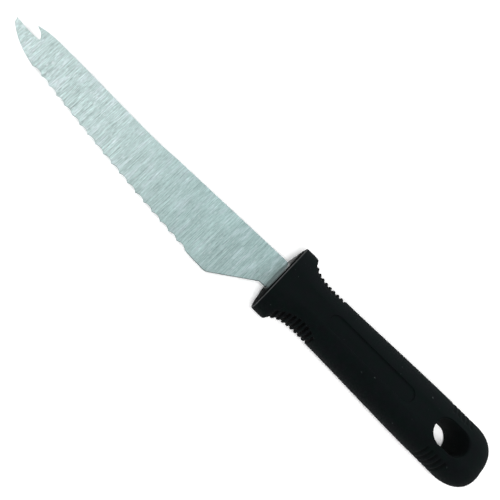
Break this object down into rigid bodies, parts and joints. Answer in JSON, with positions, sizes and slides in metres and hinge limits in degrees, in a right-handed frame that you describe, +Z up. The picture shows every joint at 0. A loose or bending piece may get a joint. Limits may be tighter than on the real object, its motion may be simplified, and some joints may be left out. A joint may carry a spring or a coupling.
{
  "type": "bar knife",
  "caption": "Bar knife with a scallop-edged, fork-tipped stainless blade in a moulded plastic handle that has a flared, ribbed guard, a sunk panel and a slotted hang hole.",
  "frame": {"origin": "bottom centre of the knife's box, lying on its side with its flat lower face on the ground", "axes": "+X along the knife from the fork to the butt, +Y towards the spine, +Z up, square to the blade's faces"},
  "size_m": [0.2426, 0.0338, 0.018],
  "materials": {
    "brushed_stainless": "brushed across the blade",
    "black_plastic": "satin moulded"
  },
  "bodies": {
    "root": {"blade": "brushed_stainless", "handle": "black_plastic"}
  },
  "joints": []
}
